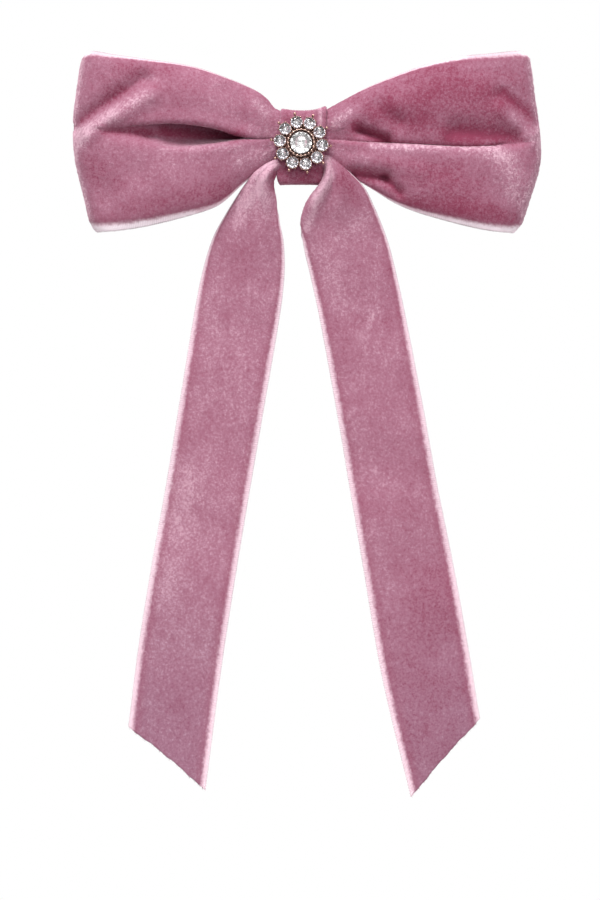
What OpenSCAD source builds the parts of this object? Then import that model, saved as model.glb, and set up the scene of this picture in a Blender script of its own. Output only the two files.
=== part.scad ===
// Velvet ribbon bow on a French barrette clip, with a jewelled brooch at its middle.
// X runs along the clip, Z is up, the bow faces -Y and the clip is on the +Y side.
// The origin is the middle of the gap that grips the hair.

/* [Clip] */
// Half the length of the base plate
plate_half = 40; // [39.5:0.1:40.5]
// Width of the base plate
plate_w = 9; // [8.8:0.1:10]
// Thickness of the base plate
plate_t = 0.8; // [0.6:0.1:0.8]
// Arch radius of the base plate
plate_r = 182; // [178:1:186]
// Width of the clasp arm
arm_w = 6.4; // [5.6:0.1:6.8]
// Arch radius of the clasp arm
arm_r = 900; // [800:10:1200]
// Gap between tension bar and arm, where the hair goes
hair_gap = 4.5; // [4.4:0.1:4.8]
// Radius of the hinge pin
pin_r = 0.75; // [0.7:0.01:0.8]

/* [Catch] */
// Thickness of a catch leg
leg_t = 0.5; // [0.4:0.05:0.55]
// Width of a catch leg
leg_w = 4; // [3.6:0.1:4.2]
// Half the width of the window in the arm
window_half = 2.9; // [2.85:0.05:3]

/* [Bow] */
// Reach of the left loop from the middle
left_reach = 64.4; // [62:0.2:66]
// Reach of the right loop from the middle
right_reach = 67.8; // [65:0.2:69]
// Thickness of the velvet ribbon
ribbon_t = 1; // [0.8:0.1:1.1]
// Width of the centre band
band_w = 15; // [14.6:0.1:15.4]
// Height of the centre band
band_h = 21.5; // [21.3:0.1:21.7]

/* [Tails] */
// Lowest point of the left tail
left_tail_z = -185.8; // [-190:0.1:-180]
// Lowest point of the right tail
right_tail_z = -187.2; // [-190:0.1:-180]
// Rise of the slanted cut from its point to its other corner
cut_rise = 22; // [18:0.5:26]

/* [Brooch] */
// Number of stones round the centre stone
petals = 10; // [10:1:10]
// Radius of the circle of small stones
petal_ring_r = 6.07; // [6.05:0.01:6.2]
// Girdle radius of a small stone
petal_r = 1.62; // [1.5:0.01:1.65]
// Girdle radius of the centre stone
centre_r = 3.1; // [3:0.01:3.2]
// Number of beads round the centre stone
beads = 20; // [18:1:22]

/* [Hidden] */
$fn = 48;
petal_nodes = [for (i = [1:petals]) str("petal_stone_", i < 10 ? "0" : "", i)];
setting_nodes = [for (i = [1:petals]) str("petal_setting_", i < 10 ? "0" : "", i)];

steel = "silver";
velvet = [0.69, 0.44, 0.53];
rose_gold = [0.72, 0.53, 0.46];
crystal = [0.93, 0.95, 0.98];

gap = 0.05;              // between faces that would touch
lay = 0.12;              // between arched strips that would lie on each other

// Height of an arc of radius r above its chord, at distance x from its middle.
function sag(r, x) = r - sqrt(r * r - x * x);

// Faces of the clip at its middle, along Y
arm_t = 0.8;
bar_t = 0.35;
arm_in_y = hair_gap / 2;
bar_out_y = -hair_gap / 2;
plate_back_y = bar_out_y - bar_t - 3.8;
plate_front_y = plate_back_y - plate_t;
function plate_y(x) = plate_back_y + sag(plate_r, x);
function arm_y(x) = arm_in_y + sag(arm_r, x);

// Hinge end
pin_x = 37;
pin_y = arm_y(pin_x) + arm_t / 2;
pin_fit = 0.05;
knuckle_r = 1.6;
ear_t = 0.6;
ear_r = 1.9;
ear_in = plate_w / 2 - ear_t;
pin_head_r = 1.2;
pin_head_t = 0.4;

// Tension bar and the two keepers that hold its ends
bar_w = 4.5;
bar_end_x = 29.6;
bar_head_w = 6.4;
bar_head_l = 1.3;
bar_sag = bar_out_y - (plate_y(bar_end_x) + lay + bar_t);
bar_r = (bar_end_x * bar_end_x + bar_sag * bar_sag) / (2 * bar_sag);
keeper_x = 27;
keeper_l = 2;
keeper_t = 0.5;
keeper_in = bar_w / 2 + 0.35;
keeper_in_y = bar_out_y - sag(bar_r, keeper_x - keeper_l / 2) + 0.12;
sew_hole_x = [14, 20];
sew_hole_r = 0.8;

// Catch end
catch_x = -37;
bracket_t = 0.5;
bracket_w = 5.4;
bracket_l = 9.4;
bracket_x = 0.4 - plate_half;
rivet_x = -32.6;
rivet_r = 0.9;
rivet_head_r = 1.5;
rivet_head_t = 0.4;
lip_y = plate_y(catch_x) + lay + bracket_t + 0.6;
leg_z = 2.2;
leg_root_y = lip_y + leg_t / 2 + gap;
leg_tip_y = 8.4;
hook_y = arm_y(catch_x) + arm_t + 0.1;
hook_h = 1;
window_l = 5.6;
arm_end_x = -42;

// Bundle of gathered ribbon inside the band
thread_d = 0.4;
thread_turns = 5;
thread_bend_r = 0.5;
thread_pitch = thread_d + 0.15;
bundle_back_y = plate_front_y - thread_d - 2 * gap;
bundle_front_y = bundle_back_y - 5.3;
band_t = 1;
band_low_z = -11.7;
band_in_y = [bundle_front_y - thread_d - 2 * gap, plate_y(band_w / 2) + lay];
bundle_low_z = band_low_z + band_t + thread_d + 2 * gap;
bundle_top_z = band_low_z + band_h - band_t - thread_d - 2 * gap;
loop_low_z = -5.2;       // underside of the loops where they enter the band
layer_t = (bundle_back_y - bundle_front_y - gap) / 2;
front_layer_y = bundle_front_y + layer_t / 2;
back_layer_y = bundle_back_y - layer_t / 2;

// Sewing
stitch_r = 0.2;
stitch_count = 7;
stitch_pitch = 2.6;
stitch_half = 1.4;
stitch_depth_y = -8.4;   // inside the back layer of the loops

// Edges of the loops: [distance from the middle, height]
left_top = [[0, bundle_top_z - gap], [7.5, bundle_top_z - gap], [10.3, 13.4], [17, 17.6], [28, 21],
            [41, 23.9], [52, 25], [62, 26.6]];
left_low = [[0, loop_low_z], [7.5, loop_low_z], [15, -9.6], [20.5, -15.4], [27.4, -19.4], [41, -23.1],
            [52, -25], [62, -25.4]];
right_top = [[0, bundle_top_z - gap], [7.5, bundle_top_z - gap], [10, 11.2], [14, 13.4], [24, 18],
             [34, 21.9], [48, 25.1], [64, 26.8]];
right_low = [[0, loop_low_z], [7.5, loop_low_z], [17, -10], [24, -15.2], [34, -20], [44, -22.8],
             [52, -24.4], [64, -25.4]];
loop_half_h = 26;
corner_in = [3.1, 5.4];  // how far the upper and lower corner stand back from the reach

// Tails: [height, x of the inner edge, x of the outer edge]
tail_y = (bundle_front_y + bundle_back_y) / 2;
tail_pivot_z = -16;
tail_top_r = 1.5;
left_edges = [[-14.2, -7.4, -17.3], [-17.7, -6.3, -19.4], [-26.8, -4.6, -24.5], [-36.5, -4.3, -27.4],
              [-47.9, -5.4, -29.6], [-161.9, -23.7, -49.3], [-190, -28.2, -54.2]];
right_edges = [[-14.2, 3.4, 19.6], [-17.7, 1.4, 21.1], [-22.2, 0.3, 23.1], [-30.8, 1.4, 25.7],
               [-42.2, 3.7, 28.5], [-161.9, 25.1, 51.6], [-190, 30.1, 57.1]];
tail_half_t = [[-190, ribbon_t / 2], [-40, ribbon_t / 2], [-24, 1], [tail_pivot_z, tail_top_r]];

// Neck of each tail, from inside the band down to the swinging part: [upper x, z, lower x, z, half thickness]
left_neck = [[0, -5.35, 0, -10, 2.5], [-7.5, -5.55, -7.5, -10, 2.5], [-11, -8.1, -8, -11.3, 2.2],
             [-14.8, -10.8, -7.9, -12.6, 1.9], [-17.3, -14.2, -7.4, -14.2, tail_top_r]];
right_neck = [[0, -5.35, 0, -10, 2.5], [7.5, -5.55, 7.5, -10, 2.5], [11.5, -8.2, 7.6, -11.5, 2.2],
              [16, -10.9, 6.2, -12.8, 1.9], [19.6, -14.2, 3.4, -14.2, tail_top_r]];

// Brooch, from the band outwards
brooch_y = band_in_y[0] - band_t - gap;
brooch_t = 0.7;
setting_y = brooch_y - brooch_t;
setting_h = 1.6;
setting_r = 1.78;
setting_wall = 0.28;
claw_r = 0.21;
claw_ring_r = 1.86;
claw_h = 2.35;
claw_angles = [50, 145, 215, 310]; // round a small stone, from its outer side
star_claw_r = 8.5;       // circle of the ball tips outside the small stones
star_ball_r = 0.42;
petal_turn = -12.1;      // turn of the first small stone from straight up
centre_h = 2.9;
centre_wall = 0.3;
centre_out_r = centre_r + 0.12;
flange_z = 2.1;
flange_h = 0.35;
bead_r = 0.42;
bead_wire_r = 0.16;
bead_ring_r = centre_out_r + bead_r + gap;
flange_r = bead_ring_r + 0.2;
bead_y = setting_y - flange_z - flange_h - bead_r - 0.01;

// Proportions of a stone, as parts of its girdle radius
crown_h = 0.33;
girdle_h = 0.04;
pavilion_h = 0.72;
culet_r = 0.12;

// Value at x of a smooth curve through the [x, value] pairs of t.
function span_of(t, x, i = 0) = i >= len(t) - 2 || x < t[i + 1][0] ? i : span_of(t, x, i + 1);
function slope_at(t, i) =
    let (a = max(i - 1, 0), b = min(i + 1, len(t) - 1))
    (t[b][1] - t[a][1]) / (t[b][0] - t[a][0]);
function smooth_at(t, x) =
    let (i = span_of(t, x), w = t[i + 1][0] - t[i][0], s = (x - t[i][0]) / w,
         a = slope_at(t, i) * w, b = slope_at(t, i + 1) * w)
    t[i][1] * (2 * pow(s, 3) - 3 * pow(s, 2) + 1) + a * (pow(s, 3) - 2 * pow(s, 2) + s)
    + t[i + 1][1] * (3 * pow(s, 2) - 2 * pow(s, 3)) + b * (pow(s, 3) - pow(s, 2));

// Point on a smooth curve through the points p, for s from 0 to 1.
function route(p, s) =
    let (at = [for (i = [0:len(p) - 1]) i / (len(p) - 1)])
    [for (k = [0:len(p[0]) - 1]) smooth_at([for (i = [0:len(p) - 1]) [at[i], p[i][k]]], s)];

// Closed solid between two grids of points, front[i][j] and back[i][j].
module between(front, back) {
    n = len(front) - 1;
    m = len(front[0]) - 1;
    per_side = (n + 1) * (m + 1);
    function at(i, j, side) = side * per_side + i * (m + 1) + j;
    function quad(a, b, c, d) = [[a, b, c], [a, c, d]];
    sheets = [for (i = [0:n - 1], j = [0:m - 1])
        each concat(quad(at(i, j, 0), at(i, j + 1, 0), at(i + 1, j + 1, 0), at(i + 1, j, 0)),
                    quad(at(i, j, 1), at(i + 1, j, 1), at(i + 1, j + 1, 1), at(i, j + 1, 1)))];
    long_rims = [for (i = [0:n - 1])
        each concat(quad(at(i, 0, 0), at(i + 1, 0, 0), at(i + 1, 0, 1), at(i, 0, 1)),
                    quad(at(i + 1, m, 0), at(i, m, 0), at(i, m, 1), at(i + 1, m, 1)))];
    end_rims = [for (j = [0:m - 1])
        each concat(quad(at(0, j + 1, 0), at(0, j, 0), at(0, j, 1), at(0, j + 1, 1)),
                    quad(at(n, j, 0), at(n, j + 1, 0), at(n, j + 1, 1), at(n, j, 1)))];
    polyhedron(points = concat([for (row = front) each row], [for (row = back) each row]),
               faces = concat(sheets, long_rims, end_rims), convexity = 6);
}

// Strip that follows an arc round [0, centre_y], on the side of the arc that is nearer the origin.
module arched_strip(centre_y, inner_r, t, half_l, w) {
    side = centre_y > 0 ? -1 : 1;
    linear_extrude(w, center = true) intersection() {
        translate([0, centre_y]) difference() {
            circle(inner_r + t, $fn = 200);
            circle(inner_r, $fn = 200);
        }
        translate([-half_l, centre_y + side * inner_r - (side < 0 ? t + 1 : half_l)])
            square([2 * half_l, half_l + t + 1]);
    }
}

// Flat outline in X and Z with round corners, extruded through the whole depth in Y.
module outline(x0, x1, half_w, r) {
    rotate([90, 0, 0]) linear_extrude(60, center = true) {
        translate([x0, -half_w + r]) square([x1 - x0, 2 * (half_w - r)]);
        translate([x0 + r, -half_w]) square([x1 - x0 - 2 * r, 2 * half_w]);
        for (x = [x0 + r, x1 - r], z = [-half_w + r, half_w - r])
            translate([x, z]) circle(r);
    }
}

// Round bar along Y from y0 to y1.
module rod_y(x, z, r, y0, y1) {
    translate([x, y0, z]) rotate([-90, 0, 0]) cylinder(h = y1 - y0, r = r);
}

// Turns its children, built at the middle of the base plate, along its arch to distance x.
module along_plate(x) {
    translate([0, plate_back_y + plate_r, 0]) rotate(asin(x / plate_r))
        translate([0, -plate_back_y - plate_r, 0]) children();
}

module rivet_hole() {
    along_plate(rivet_x) rod_y(0, 0, rivet_r + gap, plate_front_y - 1, plate_back_y + 2);
}

module hinge_ears() {
    root_y = plate_y(pin_x) - plate_t / 2;
    for (side = [-1, 1])
        translate([0, 0, side * (ear_in + ear_t / 2)]) linear_extrude(ear_t, center = true) difference() {
            union() {
                translate([pin_x, pin_y]) circle(ear_r);
                translate([pin_x - ear_r, root_y]) square([2 * ear_r, pin_y - root_y]);
            }
            translate([pin_x, pin_y]) circle(pin_r);
        }
}

module bar_keepers() {
    for (side = [-1, 1]) {
        x0 = side * keeper_x - keeper_l / 2;
        y0 = plate_y(keeper_x) - plate_t / 2;
        for (z = [-keeper_in - keeper_t, keeper_in])
            translate([x0, y0, z]) cube([keeper_l, keeper_in_y - y0 + keeper_t, keeper_t]);
        translate([x0, keeper_in_y, -keeper_in]) cube([keeper_l, keeper_t, 2 * keeper_in]);
    }
}

module base_plate() {
    color(steel) difference() {
        union() {
            intersection() {
                arched_strip(plate_back_y + plate_r, plate_r, plate_t, plate_half + 2, plate_w + 2);
                outline(-plate_half, plate_half, plate_w / 2, 2);
            }
            hinge_ears();
            bar_keepers();
        }
        rivet_hole();
        for (side = [-1, 1], x = sew_hole_x) rod_y(side * x, 0, sew_hole_r, plate_front_y - 1, 0);
    }
}

module hinge_pin() {
    color(steel) translate([pin_x, pin_y, 0]) {
        cylinder(h = plate_w + 2 * pin_head_t, r = pin_r, center = true);
        for (side = [-1, 1])
            translate([0, 0, side * (plate_w + pin_head_t) / 2])
                cylinder(h = pin_head_t, r = pin_head_r, center = true);
    }
}

module clasp_arm() {
    color(steel) difference() {
        union() {
            intersection() {
                arched_strip(arm_in_y + arm_t + arm_r, arm_r, arm_t, 45, 12);
                union() {
                    outline(-36, pin_x - knuckle_r / 2, arm_w / 2, 0.4);
                    outline(arm_end_x, catch_x + 4.6, 4.3, 1.4);
                }
            }
            translate([pin_x, pin_y, 0]) cylinder(h = 2 * ear_in - 0.4, r = knuckle_r, center = true);
        }
        translate([pin_x, pin_y, 0]) cylinder(h = plate_w, r = pin_r + pin_fit, center = true);
        outline(catch_x - window_l / 2, catch_x + window_l / 2, window_half, 0.5);
    }
}

module tension_bar() {
    color(steel) intersection() {
        arched_strip(bar_out_y - bar_r, bar_r - bar_t, bar_t, bar_end_x + 2, bar_head_w + 2);
        union() {
            outline(-bar_end_x, bar_end_x, bar_w / 2, 0.3);
            for (side = [-1, 1]) {
                head_x = side * (bar_end_x - bar_head_l / 2);
                outline(head_x - bar_head_l / 2, head_x + bar_head_l / 2, bar_head_w / 2, 0.3);
            }
        }
    }
}

module catch_bracket() {
    color(steel) difference() {
        union() {
            intersection() {
                arched_strip(plate_back_y + plate_r, plate_r - bracket_t - lay, bracket_t, plate_half + 2,
                             bracket_w + 2);
                outline(bracket_x, bracket_x + bracket_l, bracket_w / 2, 0.8);
            }
            intersection() {
                arched_strip(plate_back_y + plate_r, plate_r - lay - bracket_t / 2 - 3, 3, plate_half + 2,
                             bracket_w + 2);
                for (side = [-1, 1])
                    translate([catch_x, lip_y - 2, side * leg_z])
                        cube([leg_w, 4, leg_t], center = true);
            }
        }
        rivet_hole();
    }
}

module catch_rivet() {
    front = plate_front_y - gap;
    back = plate_back_y + lay + bracket_t + gap;
    color(steel) along_plate(rivet_x) {
        rod_y(0, 0, rivet_r, front - rivet_head_t, back + rivet_head_t);
        rod_y(0, 0, rivet_head_r, front - rivet_head_t, front);
        rod_y(0, 0, rivet_head_r, back, back + rivet_head_t);
    }
}

// Springy catch leg: a strip that stands in the arm's window, with a hook on its outer side.
module catch_leg(side) {
    half = leg_t / 2;
    hook_out = window_half - gap - leg_z;
    profile = [[leg_root_y, -half], [leg_tip_y - half, -half], [leg_tip_y, 0], [leg_tip_y - half, half],
               [hook_y + hook_h, half], [hook_y + 0.3, hook_out], [hook_y, hook_out], [hook_y, half],
               [leg_root_y, half], [leg_root_y - half, 0]];
    color(steel) translate([catch_x, 0, 0]) rotate([0, 90, 0]) linear_extrude(leg_w, center = true)
        polygon([for (p = profile) [-side * (leg_z + p[1]), p[0]]]);
}

// Velvet loop: the ribbon leaves the band in front, turns at its reach and comes back behind.
module ribbon_loop(reach, top, low) {
    plan = [[0.1, front_layer_y], [7.5, front_layer_y - 0.1], [16, -15], [0.42 * reach, -19],
            [0.66 * reach, -20.8], [0.88 * reach, -18.6], [reach - ribbon_t / 2, -13.2],
            [0.94 * reach, -9], [0.75 * reach, -7.5], [0.5 * reach, -7.3], [16, -8.6],
            [7.5, back_layer_y], [0.1, back_layer_y]];
    steps = 48;
    across = 6;
    half_t = [[0, layer_t / 2], [7.5, layer_t / 2 - 0.1], [18, ribbon_t / 2], [80, ribbon_t / 2]];
    function place(s, v, side) =
        let (p = route(plan, s), q = route(plan, min(s + 0.004, 1)), o = route(plan, max(s - 0.004, 0)),
             run = (q - o) / norm(q - o), t = lookup(p[0], half_t),
             z = smooth_at(low, p[0]) + v * (smooth_at(top, p[0]) - smooth_at(low, p[0])),
             corner = z > 0 ? corner_in[0] : corner_in[1],
             back_off = corner * pow(z / loop_half_h, 2) * pow(p[0] / reach, 4))
        [p[0] + side * t * run[1] - back_off, p[1] - side * t * run[0], z];
    function grid(side) = [for (i = [0:steps]) [for (j = [0:across]) place(i / steps, j / across, side)]];
    between(grid(-1), grid(1));
}

module left_loop() {
    color(velvet) mirror([1, 0, 0]) ribbon_loop(left_reach, left_top, left_low);
}

module right_loop() {
    color(velvet) ribbon_loop(right_reach, right_top, right_low);
}

// Ring in Y and Z with round corners, between the given inner faces, w wide in X.
module wrap_ring(y0, y1, z0, z1, t, r, w) {
    module face(grow) {
        size_y = y1 - y0 + 2 * grow;
        size_z = z1 - z0 + 2 * grow;
        c = r + grow;
        translate([y0 - grow, z0 - grow]) {
            translate([0, c]) square([size_y, size_z - 2 * c]);
            translate([c, 0]) square([size_y - 2 * c, size_z]);
            for (y = [c, size_y - c], z = [c, size_z - c]) translate([y, z]) circle(c);
        }
    }
    rotate([90, 0, 90]) linear_extrude(w, center = true) difference() {
        face(t);
        face(0);
    }
}

module binding_thread() {
    color("white") {
        for (i = [0:thread_turns - 1])
            translate([(i - (thread_turns - 1) / 2) * thread_pitch, 0, 0])
                wrap_ring(bundle_front_y - gap, bundle_back_y + gap, bundle_low_z - gap, bundle_top_z + gap,
                          thread_d, thread_bend_r, thread_d);
        // The thread's end, tucked under all the turns at the top
        translate([0, tail_y, bundle_top_z + gap + thread_d / 2])
            cube([thread_turns * thread_pitch + 1, thread_d, thread_d - 0.02], center = true);
    }
}

module centre_band() {
    color(velvet) wrap_ring(band_in_y[0], band_in_y[1], band_low_z + band_t, band_low_z + band_h - band_t,
                            band_t, 0.8, band_w);
}

// Thread from point p to point q.
module thread_bar(p, q, r) {
    d = q - p;
    translate(p) rotate([0, acos(d[2] / norm(d)), atan2(d[1], d[0])])
        translate([0, 0, -r]) cylinder(h = norm(d) + 2 * r, r = r, $fn = 16);
}

// Slanted hand stitches that close the band's overlap, on its back.
module band_stitches() {
    y = band_in_y[1] + band_t + stitch_r;
    color(velvet) for (i = [0:stitch_count - 1]) {
        z = band_low_z + band_h / 2 + (i - (stitch_count - 1) / 2) * stitch_pitch;
        thread_bar([-stitch_half, y, z - 0.5], [stitch_half, y, z + 0.5], stitch_r);
    }
}

// Thread through the sewing holes that ties the back of each loop to the base plate.
module clip_stitches() {
    color("white") for (side = [-1, 1]) {
        back = [for (x = sew_hole_x) [side * x, plate_y(x) + stitch_r + gap, 0]];
        front = [for (x = sew_hole_x) [side * x, stitch_depth_y, 0]];
        thread_bar(back[0], back[1], stitch_r);
        for (k = [0, 1]) thread_bar(back[k], front[k], stitch_r);
    }
}

// Gathered middle of the tail ribbon, with both necks down to where the tails swing.
module tail_knot() {
    rows = 10;
    across = 4;
    module neck(path, dir) {
        function place(s, v, side) =
            let (p = route(path, s))
            [p[0] + v * (p[2] - p[0]), tail_y + side * dir * p[4], p[1] + v * (p[3] - p[1])];
        function grid(side) = [for (i = [0:rows]) [for (j = [0:across]) place(i / rows, j / across, side)]];
        between(grid(1), grid(-1));
    }
    color(velvet) {
        neck(left_neck, 1);
        neck(right_neck, -1);
    }
}

// Hanging tail: hangs from its pivot line and ends in a slanted cut, with its point at the inner edge.
module ribbon_tail(edges, low_z, dir) {
    rows = 36;
    across = 4;
    top_z = tail_pivot_z + tail_top_r * 0.98;
    inner = [for (i = [len(edges) - 1:-1:0]) [edges[i][0], edges[i][1]]];
    outer = [for (i = [len(edges) - 1:-1:0]) [edges[i][0], edges[i][2]]];
    function half_at(z) =
        z > tail_pivot_z ? sqrt(pow(tail_top_r, 2) - pow(z - tail_pivot_z, 2)) : lookup(z, tail_half_t);
    function place(i, v, side) =
        let (s = i < 5 ? i * 0.0022 : 0.0088 + pow((i - 4) / (rows - 4), 1.25) * 0.9912,
             z = top_z + s * (low_z + v * cut_rise - top_z))
        [smooth_at(inner, z) + v * (smooth_at(outer, z) - smooth_at(inner, z)),
         tail_y + side * dir * half_at(z), z];
    function grid(side) = [for (i = [0:rows]) [for (j = [0:across]) place(i, j / across, side)]];
    between(grid(1), grid(-1));
}

module left_tail() {
    color(velvet) ribbon_tail(left_edges, left_tail_z, -1);
}

module right_tail() {
    color(velvet) ribbon_tail(right_edges, right_tail_z, 1);
}

// Places its children, built along +Z, in the brooch: at radius r and angle a, standing out from the bow.
module on_brooch(r, a, y) {
    translate([r * sin(a), y, r * cos(a)]) rotate([90, 0, 0]) rotate([0, 0, -a]) children();
}

module brooch_plate() {
    color(rose_gold) on_brooch(0, 0, brooch_y) linear_extrude(brooch_t) {
        circle(petal_ring_r - 0.6);
        for (i = [0:petals - 1])
            rotate(-petal_turn - i * 360 / petals) translate([0, petal_ring_r]) circle(setting_r);
    }
}

// Brilliant-cut stone with its girdle at z = 0: table, crown, girdle and pavilion, in sides main facets.
module stone(r, sides) {
    module facet_ring(radius, z, turn) {
        rotate(turn * 180 / sides) translate([0, 0, z]) cylinder(h = 0.01, r = radius, $fn = sides);
    }
    hull() {
        facet_ring(0.55 * r, crown_h * r - 0.01, 0);
        facet_ring(0.79 * r, 0.22 * r, 1);
        for (turn = [0, 1]) {
            facet_ring(r, girdle_h * r - 0.01, turn);
            facet_ring(r, -girdle_h * r, turn);
        }
        facet_ring(culet_r * r, -pavilion_h * r, 1);
    }
}

// Height of the girdle above the rim of a cup, of inner radius rim_r, that carries the stone.
function seat(r, rim_r) = girdle_h * r + (r - rim_r + gap) * (pavilion_h - girdle_h) / (1 - culet_r);

// Cup that carries a stone on its rim.
module cup(r, h, wall) {
    difference() {
        cylinder(h = h, r = r);
        translate([0, 0, 0.3]) cylinder(h = h, r = r - wall);
    }
}

function petal_angle(i) = petal_turn + i * 360 / petals;

module petal_setting(i) {
    out = star_claw_r - petal_ring_r;
    color(rose_gold) on_brooch(petal_ring_r, petal_angle(i), setting_y) {
        cup(setting_r, setting_h, setting_wall);
        for (a = claw_angles) rotate(a) translate([0, claw_ring_r, 0]) {
            cylinder(h = claw_h - claw_r, r = claw_r, $fn = 24);
            translate([0, 0, claw_h - claw_r]) sphere(claw_r, $fn = 24);
        }
        translate([0, setting_r - 0.15, 0.3]) rotate([-atan((out - setting_r + 0.15) / 1.3), 0, 0])
            cylinder(h = 1.45, r = claw_r, $fn = 24);
        translate([0, out, 1.6]) sphere(star_ball_r, $fn = 24);
    }
}

module petal_stone(i) {
    girdle_y = setting_y - setting_h - seat(petal_r, setting_r - setting_wall);
    color(crystal) on_brooch(petal_ring_r, petal_angle(i), girdle_y) stone(petal_r, 8);
}

module centre_setting() {
    color(rose_gold) on_brooch(0, 0, setting_y) {
        cup(centre_out_r, centre_h, centre_wall);
        translate([0, 0, flange_z]) difference() {
            cylinder(h = flange_h, r = flange_r);
            translate([0, 0, -1]) cylinder(h = 3, r = centre_out_r - 0.1);
        }
    }
}

module bead_ring() {
    color(rose_gold) on_brooch(0, 0, bead_y) {
        rotate_extrude() translate([bead_ring_r, 0]) circle(bead_wire_r);
        for (i = [0:beads - 1])
            rotate(i * 360 / beads) translate([bead_ring_r, 0, 0]) sphere(bead_r, $fn = 24);
    }
}

module centre_stone() {
    girdle_y = setting_y - centre_h - seat(centre_r, centre_out_r - centre_wall);
    color(crystal) on_brooch(0, 0, girdle_y) stone(centre_r, 8);
}

base_plate();
hinge_pin();
clasp_arm();
tension_bar();
catch_bracket();
catch_rivet();
catch_leg(1);  // catch_leg_upper
catch_leg(-1);  // catch_leg_lower
left_loop();
right_loop();
binding_thread();
tail_knot();
left_tail();
right_tail();
centre_band();
band_stitches();
clip_stitches();
brooch_plate();
centre_setting();
bead_ring();
centre_stone();
for (i = [0:petals - 1]) {
    petal_setting(i);
    petal_stone(i);
}
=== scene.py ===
"""A velvet ribbon bow on a French barrette clip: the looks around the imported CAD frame.

Shapes are worked out in millimetres in the CAD's frame (X along the clip, Z up, the bow facing -Y) and
written to meshes in metres.
"""

import math

import bmesh
import bpy
import numpy as np
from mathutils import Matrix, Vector


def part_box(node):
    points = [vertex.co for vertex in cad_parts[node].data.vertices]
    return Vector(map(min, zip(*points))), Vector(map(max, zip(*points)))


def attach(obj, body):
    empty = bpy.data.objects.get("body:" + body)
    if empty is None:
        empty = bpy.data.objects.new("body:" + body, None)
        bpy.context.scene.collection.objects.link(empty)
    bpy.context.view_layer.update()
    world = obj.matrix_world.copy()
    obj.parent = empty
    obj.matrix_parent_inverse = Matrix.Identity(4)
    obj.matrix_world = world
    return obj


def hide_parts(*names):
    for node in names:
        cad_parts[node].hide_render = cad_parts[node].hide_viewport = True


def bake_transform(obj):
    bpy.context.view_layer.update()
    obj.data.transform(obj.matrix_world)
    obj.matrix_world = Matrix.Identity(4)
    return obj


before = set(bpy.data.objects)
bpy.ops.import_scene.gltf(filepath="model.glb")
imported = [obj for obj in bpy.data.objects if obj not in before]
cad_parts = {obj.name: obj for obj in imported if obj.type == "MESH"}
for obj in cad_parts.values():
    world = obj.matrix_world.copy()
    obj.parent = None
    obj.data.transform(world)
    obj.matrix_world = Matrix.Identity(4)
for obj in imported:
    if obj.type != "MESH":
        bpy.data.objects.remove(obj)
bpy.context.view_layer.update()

MM = 0.001
ROOT = "clip_and_bow"
rng = np.random.default_rng(7)

# ---------------------------------------------------------------- camera, light, floor

FRAME_H = 256.5 * MM       # height of the view at the bow
VIEW_DROP = 7.4 * MM       # how far the middle of the view is below the middle of the bow
VIEW_LEFT = 0.3 * MM
CAMERA_AWAY = 1.2          # metres from the camera to the front of the bow
FRONT = 15 * MM            # how far the front of the bow is before the origin
SENSOR = 36.0
AIM = (0, 0, -0.05)        # the point that every light faces
LIGHTS = [                 # name, place, size and power
    ("key", (-0.22, -0.62, 0.95), 0.5, 14.0),
    ("front", (0.1, -1.35, 0.35), 0.6, 3.4),
    ("fill", (0.9, -0.7, 0.1), 0.7, 1.6),
    ("back", (0.2, 0.8, 0.6), 0.7, 5.0)]
FLOOR_R = 0.2              # metres
FLOOR_Z = -245 * MM


def add_camera():
    boxes = [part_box(n) for n in ("left_loop", "right_loop", "left_tail", "right_tail")]
    middle_z = (min(low.z for low, high in boxes) + max(high.z for low, high in boxes)) / 2
    cam_data = bpy.data.cameras.new("camera")
    cam = bpy.data.objects.new("camera", cam_data)
    bpy.context.scene.collection.objects.link(cam)
    cam_data.sensor_fit = "VERTICAL"
    cam_data.sensor_height = SENSOR
    cam_data.lens = SENSOR * CAMERA_AWAY / FRAME_H
    cam_data.clip_end = 20
    cam.location = (-VIEW_LEFT, -CAMERA_AWAY - FRONT, middle_z - VIEW_DROP)
    cam.rotation_euler = (math.radians(90), 0, 0)
    bpy.context.scene.camera = cam


def add_light(name, place, size, power):
    data = bpy.data.lights.new(name, "AREA")
    data.shape = "DISK"
    data.size = size
    data.energy = power
    lamp = bpy.data.objects.new(name, data)
    lamp.location = place
    lamp.rotation_euler = (Vector(AIM) - Vector(place)).to_track_quat("-Z", "Y").to_euler()
    bpy.context.scene.collection.objects.link(lamp)


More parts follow.
